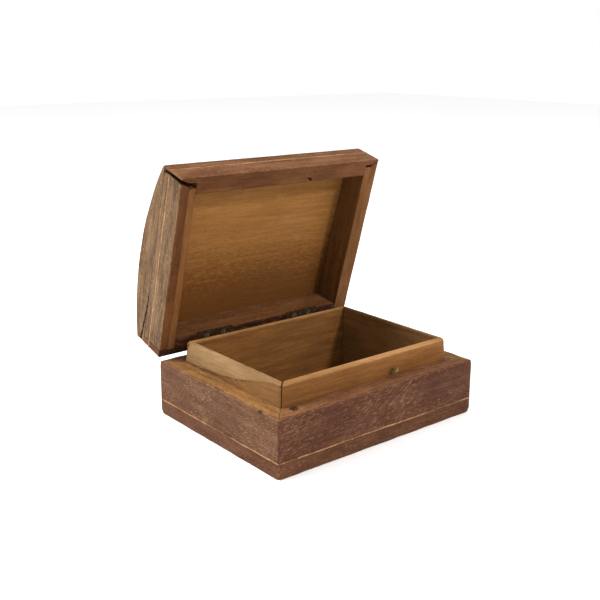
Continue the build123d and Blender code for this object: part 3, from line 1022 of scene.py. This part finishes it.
# Lid linings. A thinner, lighter board glued inside each side rail; both stop short of the front
# rail's shoulders, which leaves a small square hole at each front corner.
LEFT_SETBACK = 6.9
RIGHT_SETBACK = 5.0
for side, setback, seed in (("left", LEFT_SETBACK, 75), ("right", RIGHT_SETBACK, 76)):
    front_end = BOX_HALF_DEPTH - setback
    span = (back_end, front_end) if side == "left" else (-front_end, -back_end)
    lid_piece(
        f"lid_lining_{side}", f"lid_{side}_lining", "lid",
        shape_board(
            side, span, (LINING_OUTER, LINING_INNER), (RIM, RIM + RAIL_HEIGHT),
            rounds=(0.12, 0.12, 0.15, 0.35), worn_edges=(("inner_low", 0.35),),
            dirty_edges=(("outer_low", 0.3), ("inner_top", 0.8), ("start", 0.5), ("end", 0.5)),
            seed=seed,
        ),
        [lining_wood] * 6,
    )

# Lid strings. The same pale strip as on the base, let in round the rails; it has kept more of its
# light colour here.
LID_STRING_SEED = 80
lid_string_wood = wood_finish(
    "lid_string_wood", tint(118, 87, 57), tint(156, 123, 85), tint(188, 155, 112), flecks=0.4, pores=0.5,
    blotch=0.5, dirt_and_shade=tint(62, 40, 26), dirt_and_shade_amount=0.5,
)
left_end = BOX_HALF_DEPTH - CORNER_TIP - LEFT_GAP
right_end = BOX_HALF_DEPTH - CORNER_TIP - RIGHT_GAP
for number, (side, body, span, slopes) in enumerate((
    ("front", "lid_front_rail", (-BOX_HALF_WIDTH, BOX_HALF_WIDTH), (1, 1)),
    ("back", "lid", (-BOX_HALF_WIDTH, BOX_HALF_WIDTH), (1, 1)),
    ("left", "lid", (-BOX_HALF_DEPTH, left_end), (1, END_SLANT)),
    ("right", "lid", (-right_end, BOX_HALF_DEPTH), (END_SLANT, 1)),
)):
    lid_piece(
        f"lid_string_{side}", f"lid_{side}_string", body,
        string_board(
            side, span, RIM + LID_STRING_LOW, slopes, None,
            string_seed=LID_STRING_SEED + 2 * number, seed=90 + number,
        ),
        [lid_string_wood] * 6,
    )

# Dome board. One thick board planed to a low arch above and left flat below, glued down on the
# rails; its underside is the ceiling inside the lid. Its left end has split along the glue line.
DOME_LOW = RIM + RAIL_HEIGHT
DOME_FRONT_EDGE = 1.8
DOME_BACK_EDGE = 8.3
DOME_CROWN = 16.0
DOME_CROWN_FROM_FRONT = 66.0
DOME_ROUND = 0.7
DOME_GRAIN_START = (120, -50, 310)
# how far from the hinge side the painted shade on the ceiling reaches
CEILING_SHADE_REACH = 80
DOME_STEP = 0.8
DOME_LONG_STEP = 1.8
# the split: how far along it, how high it runs there and how wide it stands open
CRACK_LENGTH = 34.0
CRACK_PLACES = (0, 8, 16, 24, 30, 34)
CRACK_RISES = (0.0, 0.7, 1.8, 2.4, 3.6, 3.9)
CRACK_WIDTHS = (0.9, 1.1, 1.3, 1.6, 1.9, 2.2)
CRACK_DEPTH = 2.5
CRACK_STRAY = 0.45
CRACK_STEP = 0.0125
CRACK_TOP = 0.46
DOME_ARRIS_FADE = 0.8
SEAM_FADE = 0.5
# painted shade on the ceiling where it meets the rails: how dark, and how fast it fades
RAIL_SHADE = 0.4
RAIL_SHADE_FADE = 1.5


def circle_through(first, second, third):
    """Centre and radius of the circle through three points: where two chords' middle lines meet."""
    start = np.array(first, float)
    ends = np.array([second, third], float)
    centre = np.linalg.solve(ends - start, ((ends ** 2).sum(1) - (start ** 2).sum()) / 2)
    return centre, np.hypot(*(start - centre))


arch_centre, arch_radius = circle_through(
    (0, DOME_FRONT_EDGE), (DOME_CROWN_FROM_FRONT, DOME_CROWN), (2 * BOX_HALF_DEPTH, DOME_BACK_EDGE)
)


def dome_height(deep):
    """The dome's height above its underside, on one circle from the front edge over the crown."""
    return arch_centre[1] + np.sqrt(arch_radius ** 2 - (deep - arch_centre[0]) ** 2)


# The ceiling's darker colour marks the seams and the split, and is also painted shade along the rails
# and toward the hinges.
ceiling_wood = wood_finish(
    "ceiling_wood", tint(114, 74, 34), tint(130, 90, 47), tint(72, 40, 14), pores=0.35,
    blotch=0.1, dirt_and_shade=tint(72, 38, 9), dirt_and_shade_amount=0.75, dirt_and_shade_ragged=0.3,
)
dome_wood = wood_finish(
    "dome_wood", tint(78, 48, 34), tint(104, 70, 50), tint(140, 104, 74), flecks=0.35,
    blotch=0.4, scratch=0.3, worn=tint(142, 106, 70), dirt_and_shade=tint(30, 17, 10),
)
dome_end_wood = wood_finish(
    "dome_end_wood", tint(60, 42, 29), tint(108, 82, 56), tint(168, 138, 88), flecks=0.45, pores=0.5,
    blotch=0.4, scratch=0.3, worn=tint(146, 110, 74), dirt_and_shade=tint(20, 11, 6), turned=True, worn_amount=0.4,
)
width, depth = 2 * BOX_HALF_WIDTH, 2 * BOX_HALF_DEPTH
crack_shares = np.arange(0.005, CRACK_TOP, CRACK_STEP)
shares = np.union1d(np.round(grade(DOME_CROWN, DOME_STEP) / DOME_CROWN, 4), np.round(crack_shares, 4))
points, faces = skin(grade(width, DOME_LONG_STEP), grade(depth, DOME_STEP), shares)
along, deep, share = points.T
crown = dome_height(deep)
high = share * crown
edge_marks = np.sort(np.stack([
    np.minimum(along, width - along), np.minimum(deep, depth - deep), np.minimum(high, crown - high)
]), axis=0)[1]
ease_by = DOME_ROUND * np.clip(1 + 0.4 * drift(points * (1, 1, 16), 8, 101), 0.4, 2)
# each pass eases one edge and turns the board round, so that two passes bring it back
for turn in range(2):
    along, from_top = ease(along, crown - high, ease_by)
    high = crown - from_top
    along = width - along
for turn in range(2):
    deep, from_top = ease(deep, crown - high, ease_by)
    high = crown - from_top
    deep = depth - deep
for turn in range(2):
    along, deep = ease(along, deep, ease_by)
    along = width - along
    from_back, along = ease(depth - deep, along, ease_by)
    deep = depth - from_back
from_start = deep - (depth - CRACK_LENGTH)
crack_line = np.interp(from_start, CRACK_PLACES, CRACK_RISES)
crack_line += CRACK_STRAY * drift_along(deep, 2.5, 103)
crack_half = np.interp(from_start, CRACK_PLACES, CRACK_WIDTHS) / 2
crack = np.sqrt(np.clip(1 - np.abs(high - crack_line) / crack_half, 0, 1))
crack = crack * (points[:, 0] == 0) * (from_start > 0)
along = along + CRACK_DEPTH * crack
from_edge = np.minimum(points[:, :2], (width, depth) - points[:, :2]).min(1)
# Painted shade on the ceiling: darker where it meets the rails' inner faces, and darker toward the hinge
# side.
shade_by_rails = RAIL_SHADE * np.exp(-np.abs(from_edge - RAIL_WIDTH) / RAIL_SHADE_FADE)
shade_toward_hinges = 1 - np.clip((depth - RAIL_WIDTH - points[:, 1]) / CEILING_SHADE_REACH, 0, 1)
marks = {
    "grain": points * (1, 1, DOME_CROWN) + DOME_GRAIN_START,
    "arris": np.exp(-edge_marks / DOME_ARRIS_FADE) * (high > 0.5),
    "grime": np.exp(-np.hypot(from_edge, high) / SEAM_FADE) + np.minimum(2.5, 4 * crack)
    + (points[:, 2] == 0) * (shade_by_rails + shade_toward_hinges),
    "bare": 0 * high,
}
shaped = stand("front", along - BOX_HALF_WIDTH, deep, DOME_LOW + high)
lid_piece(
    "lid_dome", "lid_dome_board", "lid", (shaped, faces, marks),
    [dome_wood, ceiling_wood, dome_wood, dome_wood, dome_end_wood, dome_end_wood],
)

# Guide pins. Two brass pins driven into the front rail, whose upper ends run in slots under the dome
# board and keep the rail straight as it slides.
refinish("rail_guide_pins", hinge_brass)
